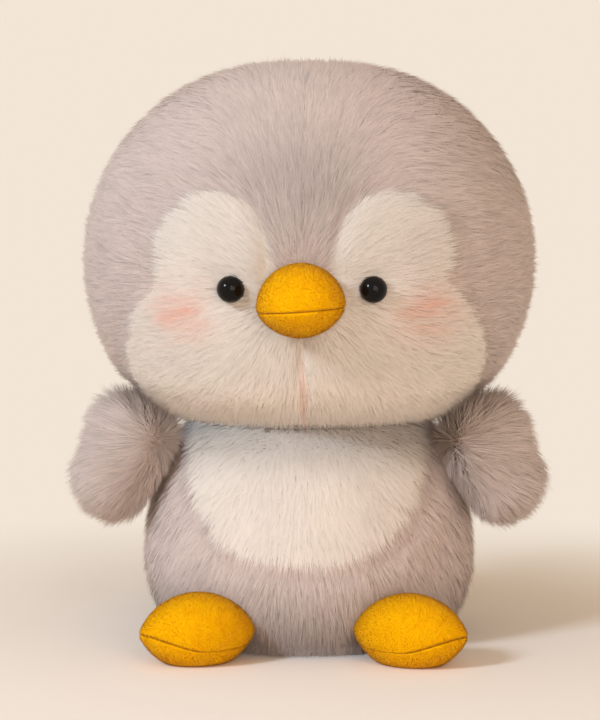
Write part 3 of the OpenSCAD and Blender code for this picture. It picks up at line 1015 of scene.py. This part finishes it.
class PENGUIN_OT_body(PenguinBuilder, bpy.types.Operator):
    """Stuff the body and sew its grey pile, cream belly and base over it"""

    bl_idname = "penguin.body"
    bl_label = "Body and belly"

    def comb(self, roots, normals):
        """Pile runs down, and away from the middle of the belly."""
        aside = 0.7 * roots / self.forms.body_r * np.array([1, 0, 0])
        return tangent(aside + DOWN, normals)

    def build(self):
        forms, pile = self.forms, self.pile
        vertices, triangles = form = form_arrays(forms.body_skin_gap, forms.body_middle, 7)
        filling = ["body_stuffing", "pellet_bag"]
        pad = self.stuff("body_pad", form, "knitted backing", "body", filling, fill=0.85)
        add_values(pad.data, "cream", ease(-forms.belly_edge(vertices), -1 * MM, 1 * MM))
        rng = np.random.default_rng(seed=12)
        planted = plant(vertices, triangles, forms.body_skin_gap, pile.cream_density, rng)
        roots, normals = planted
        comb = self.comb(roots, normals)
        seen_at = roots + comb * (0.55 * pile.belly_length)
        cream = forms.belly_edge(seen_at) + 0.7 * MM * ripple(roots, 8 * MM, 6) < 0
        thinned = cream | (rng.random(len(roots)) < pile.grey_density / pile.cream_density)
        on_base = (normals[:, 2] < -0.9) & (roots[:, 2] < 4 * MM)
        limbs = (forms.wing_gap, forms.foot_lemon_gap)
        limb_gap = np.min([gap(on_side(roots, side)) for side in SIDES for gap in limbs], axis=0)
        neck_top = forms.neck[2] + 43 * MM
        open_pile = thinned & (roots[:, 2] < neck_top) & (limb_gap > 0) & ~on_base
        low = ease(roots[:, 2], 2 * MM, 16 * MM)
        trim = (0.55 + 0.45 * low) * (0.5 + 0.5 * ease(limb_gap, 0, 8 * MM))
        trim = trim * (1 - 0.45 * ease(roots[:, 2], forms.chin_z, forms.chin_z + 6 * MM))
        lengths = np.where(cream, pile.belly_length, pile.grey_length) * trim
        rising = 0.7 * ease(roots[:, 2], forms.shoulder_z - 3 * MM, forms.shoulder_z + 7 * MM)
        undyed = np.zeros(len(roots))
        # Painted shade darkens the pile towards the base, and a painted shadow darkens it under the
        # chin. Painted light makes the body's grey pile 12 % lighter and the belly 2 % lighter than the
        # head's.
        painted_hem_shade = 0.45 + 0.55 * ease(roots[:, 2], 4 * MM, 48 * MM)
        painted_chin_shadow = 1 - 0.28 * ease(roots[:, 2], forms.shoulder_z - 18 * MM, forms.shoulder_z + 2 * MM)
        tone = np.where(cream, 1.02, 1.12) * painted_hem_shade * painted_chin_shadow
        covered = (*planted, comb, lengths, rising, tone, undyed)
        for side, word in SIDES.items():
            mine = open_pile & ~cream & (roots[:, 0] * side > 0)
            self.sew(
                f"body_pile_{word}", "body", mine, covered,
                body="body", replaced=[f"body_panel_{word}"], seed=40 + side,
            )
        self.sew(
            "belly_pile", "belly", open_pile & cream, covered,
            body="body", replaced=["belly_panel"], seed=45,
        )
        outward = tangent(roots * np.array([1, 1, 0]) + 1e-6, normals)
        seated = (*planted, outward, np.full(len(roots), pile.base_length), undyed, 1 + undyed, undyed)
        self.sew(
            "base_pile", "base", thinned & on_base, seated,
            body="body", replaced=["base_panel"], seed=46,
        )


class PENGUIN_OT_wings(PenguinBuilder, bpy.types.Operator):
    """Stuff both wings and sew their pile, which runs out from where they are tacked to the body"""

    bl_idname = "penguin.wings"
    bl_label = "Wings"

    def build(self):
        forms, pile = self.forms, self.pile
        vertices, triangles = form = form_arrays(forms.wing_skin_gap, forms.wing_middle, 6)
        rng = np.random.default_rng(seed=13)
        roots, normals = plant(vertices, triangles, forms.wing_skin_gap, 1.1 * pile.grey_density, rng)
        out = unit(roots - (forms.wing_tack + np.array([0, 3, 0]) * MM))
        behind = ease(roots[:, 1] - forms.wing[1], 0, 20 * MM)[:, None]
        comb = tangent(out * (1 - 0.4 * behind) + (forms.wing_way + 0.3 * DOWN) * behind, normals)
        inner = (roots - forms.wing_seam) @ forms.wing_side
        top = ease((roots - forms.wing) @ forms.wing_flat - forms.wing_flat_h, -13 * MM, -6 * MM)
        trim = 0.4 + 0.6 * ease(inner, -2 * MM, 11 * MM)
        undyed = np.zeros(len(roots))
        for side, word in SIDES.items():
            pad = self.stuff(
                f"wing_pad_{word}", form_on_side(form, side), "knitted backing",
                f"wing_{word}", [f"wing_stuffing_{word}"], fill=0.8,
            )
            add_values(pad.data, "cream", np.zeros(len(vertices)))
            panels = [f"wing_front_{word}", f"wing_back_{word}"]
            turned = [on_side(part, side) for part in (roots, normals, comb)]
            # Painted shade: the wing pile is 5 % darker than the same grey pile elsewhere.
            planted = (*turned, pile.wing_length * trim, 0.4 * top, 0.95 + undyed, undyed)
            self.sew(
                f"wing_pile_{word}", "wing", np.ones(len(roots), bool), planted,
                body=f"wing_{word}", replaced=panels, seed=50 + side,
            )


class PENGUIN_OT_beak(PenguinBuilder, bpy.types.Operator):
    """Pad the two halves of the beak and raise their nap"""

    bl_idname = "penguin.beak"
    bl_label = "Beak"

    def build(self):
        forms, pile = self.forms, self.pile
        halves = {
            "upper": (forms.beak_upper_gap, 0.4 * forms.beak_upper_h, ["beak_upper", "beak_stuffing"]),
            "lower": (forms.beak_lower_gap, -0.45 * forms.beak_lower_h, ["beak_lower"]),
        }
        for number, (word, (gap, height, replaced)) in enumerate(halves.items()):
            vertices, triangles = form = form_arrays(gap, forms.beak + height * UP, 6)
            self.stuff(f"beak_{word}_pad", form, "orange fleece", "head", replaced, fill=0.9)
            rng = np.random.default_rng(seed=60 + number)
            roots, normals = plant(vertices, triangles, gap, pile.nap_density, rng)
            hidden_depth = 6 * MM
            shown = forms.head_gap(roots) > -hidden_depth
            self.raise_nap(f"beak_{word}_nap", roots[shown], normals[shown], "head", seed=62 + number)


class PENGUIN_OT_feet(PenguinBuilder, bpy.types.Operator):
    """Pad the tops and soles of both feet and raise their nap"""

    bl_idname = "penguin.feet"
    bl_label = "Feet"

    def build(self):
        forms, pile = self.forms, self.pile
        parts = {
            "top": (forms.foot_top_gap, 0.0, ["foot_top", "foot_stuffing"]),
            "sole": (forms.foot_sole_gap, -0.62 * forms.foot_r, ["foot_sole"]),
        }
        for number, (part, (gap, height, nodes)) in enumerate(parts.items()):
            vertices, triangles = form = form_arrays(gap, forms.foot + height * UP, 6)
            rng = np.random.default_rng(seed=70 + number)
            roots, normals = plant(vertices, triangles, gap, pile.nap_density, rng)
            pressed_flat = 0.5 * MM
            shown = roots[:, 2] > pressed_flat
            for side, word in SIDES.items():
                self.stuff(
                    f"foot_{part}_pad_{word}", form_on_side(form, side), "orange fleece",
                    f"foot_{word}", [f"{node}_{word}" for node in nodes], fill=0.9,
                )
                turned = [on_side(values[shown], side) for values in (roots, normals)]
                self.raise_nap(f"foot_{part}_nap_{word}", *turned, f"foot_{word}", seed=72 + number)


class PENGUIN_OT_fittings(PenguinBuilder, bpy.types.Operator):
    """Give the eyes, their washers and the neck's thread their finishes"""

    bl_idname = "penguin.fittings"
    bl_label = "Eyes, washers and thread"

    def build(self):
        colours = self.colours
        gloss = moulded_material("glossy eye", colours.eye, roughness=0.05, wear=0.05)
        washer = moulded_material("moulded washer", colours.washer, roughness=0.4, wear=0.2)
        thread = thread_material("neck thread", colours.thread)
        finishes = {"eye_left": gloss, "eye_right": gloss, "eye_washers": washer, "neck_thread": thread}
        for node, material in finishes.items():
            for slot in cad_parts[node].material_slots:
                slot.material = material


# Place, width in metres, power in watts and colour of each lamp
LAMPS = {
    "key_lamp": ((-1.15, -0.98, 1.0), 0.40, 19.0, (0.67, 0.80, 0.96)),
    "front_lamp": ((0.55, -1.6, 0.4), 1.2, 11.0, (1.0, 0.88, 0.81)),
    "catch_light": ((0.25, -1.3, 0.85), 0.10, 0.7, (1.0, 1.0, 1.0)),
}
LAMP_TARGET = (0, 0, 0.12)
SKY_COLOUR = (1.0, 0.82, 0.62)
SKY_STRENGTH = 0.55
FLOOR_RADIUS = 2.5
FLOOR_FADE = (0.12, 0.38)
CAMERA_DISTANCE = 1.0
CAMERA_HEIGHT = 0.2
CAMERA_ASIDE = math.radians(1.8)
CAMERA_TARGET = (-0.0040, 0, 0.1202)
CAMERA_LENS = 114


class PENGUIN_OT_stage(bpy.types.Operator):
    """Set the floor, the background, the lamps and the camera"""

    bl_idname = "penguin.stage"
    bl_label = "Stage"
    bl_options = {"REGISTER", "UNDO"}

    def execute(self, context):
        scene = context.scene
        backdrop = opaque(scene.penguin_colours.backdrop)
        scene.view_settings.view_transform = "Standard"
        self.lay_floor(scene, opaque(scene.penguin_colours.floor), backdrop)
        self.paint_world(scene, backdrop)
        for name, lamp in LAMPS.items():
            self.hang_lamp(scene, name, *lamp)
        self.place_camera(scene)
        return {"FINISHED"}

    def lay_floor(self, scene, colour, backdrop):
        """A round floor that fades into the background away from the toy."""
        disc = bmesh.new()
        bmesh.ops.create_circle(disc, cap_ends=True, segments=96, radius=FLOOR_RADIUS)
        mesh = bpy.data.meshes.new("floor")
        disc.to_mesh(mesh)
        disc.free()
        floor = bpy.data.objects.new("floor", mesh)
        scene.collection.objects.link(floor)
        material, tree, shader = new_material(
            "pale floor", Base_Color=colour, Roughness=0.9, Specular_IOR_Level=0.1
        )
        distance = add_node(tree, "ShaderNodeVectorMath", {0: object_place(tree)}, operation="LENGTH")
        span = {"Value": distance.outputs["Value"], "From Min": FLOOR_FADE[0], "From Max": FLOOR_FADE[1]}
        fade = add_node(tree, "ShaderNodeMapRange", span, interpolation_type="SMOOTHSTEP")
        glow = add_node(tree, "ShaderNodeEmission", {"Color": backdrop, "Strength": 1.0})
        blend = {0: fade.outputs["Result"], 1: shader.outputs[0], 2: glow.outputs[0]}
        mixed = add_node(tree, "ShaderNodeMixShader", blend)
        tree.links.new(mixed.outputs[0], tree.nodes["Material Output"].inputs["Surface"])
        mesh.materials.append(material)

    def paint_world(self, scene, backdrop):
        """Soft light from all round, seen as the background colour."""
        world = bpy.data.worlds.new("studio")
        scene.world = world
        world.use_nodes = True
        tree = world.node_tree
        tree.nodes.clear()
        path = add_node(tree, "ShaderNodeLightPath")
        seen = calculate(tree, "ADD", path.outputs["Is Camera Ray"], path.outputs["Is Glossy Ray"])
        seen = calculate(tree, "ADD", seen, path.outputs["Is Transmission Ray"])
        sky = {"Color": opaque(SKY_COLOUR), "Strength": SKY_STRENGTH}
        soft = add_node(tree, "ShaderNodeBackground", sky)
        shown = add_node(tree, "ShaderNodeBackground", {"Color": backdrop, "Strength": 1.0})
        mixed = add_node(tree, "ShaderNodeMixShader", {0: seen, 1: soft.outputs[0], 2: shown.outputs[0]})
        out = add_node(tree, "ShaderNodeOutputWorld", {"Surface": mixed.outputs[0]})
        out.is_active_output = True

    def put(self, scene, name, data, place, target):
        """A lamp or camera at a place, which faces a target."""
        thing = bpy.data.objects.new(name, data)
        scene.collection.objects.link(thing)
        thing.location = place
        aim = Vector(target) - Vector(place)
        thing.rotation_euler = aim.to_track_quat("-Z", "Y").to_euler()
        return thing

    def hang_lamp(self, scene, name, place, size, power, colour):
        """A round soft lamp that faces the toy's middle."""
        lamp = bpy.data.lights.new(name, "AREA")
        lamp.shape = "DISK"
        lamp.size = size
        lamp.energy = power
        lamp.color = colour
        self.put(scene, name, lamp, place, LAMP_TARGET)

    def place_camera(self, scene):
        """The photograph's view: a little above the toy's middle and slightly to its left."""
        lens = bpy.data.cameras.new("camera")
        lens.sensor_width = 36
        lens.lens = CAMERA_LENS
        across = CAMERA_DISTANCE * math.sin(CAMERA_ASIDE)
        away = CAMERA_DISTANCE * math.cos(CAMERA_ASIDE)
        place = (across, -away, CAMERA_HEIGHT)
        scene.camera = self.put(scene, "camera", lens, place, CAMERA_TARGET)


class PENGUIN_PT_panel(bpy.types.Panel):
    """The penguin's sizes, pile, colours and building steps"""

    bl_idname = "PENGUIN_PT_panel"
    bl_label = "Plush penguin"
    bl_space_type = "VIEW_3D"
    bl_region_type = "UI"
    bl_category = "Penguin"

    def draw(self, context):
        scene = context.scene
        for group in (scene.penguin_sizes, scene.penguin_pile, scene.penguin_colours):
            box = self.layout.box()
            for name in group.bl_rna.properties.keys():
                if name not in ("rna_type", "name"):
                    box.prop(group, name)
        for step in STEPS:
            self.layout.operator(step.bl_idname)


GROUPS = {
    "penguin_sizes": PenguinSizes,
    "penguin_pile": PenguinPile,
    "penguin_colours": PenguinColours,
}
STEPS = (
    PENGUIN_OT_head,
    PENGUIN_OT_body,
    PENGUIN_OT_wings,
    PENGUIN_OT_beak,
    PENGUIN_OT_feet,
    PENGUIN_OT_fittings,
    PENGUIN_OT_stage,
)


def register():
    """Register the property groups, the operators and the panel."""
    for name, group in GROUPS.items():
        bpy.utils.register_class(group)
        setattr(bpy.types.Scene, name, PointerProperty(type=group))
    for item in (*STEPS, PENGUIN_PT_panel):
        bpy.utils.register_class(item)


def unregister():
    """Take everything back that register added."""
    for item in reversed((*STEPS, PENGUIN_PT_panel)):
        bpy.utils.unregister_class(item)
    for name, group in GROUPS.items():
        delattr(bpy.types.Scene, name)
        bpy.utils.unregister_class(group)


def main():
    """Build the whole toy and its stage."""
    register()
    bpy.ops.penguin.head()
    bpy.ops.penguin.body()
    bpy.ops.penguin.wings()
    bpy.ops.penguin.beak()
    bpy.ops.penguin.feet()
    bpy.ops.penguin.fittings()
    bpy.ops.penguin.stage()


if __name__ == "__main__":
    main()
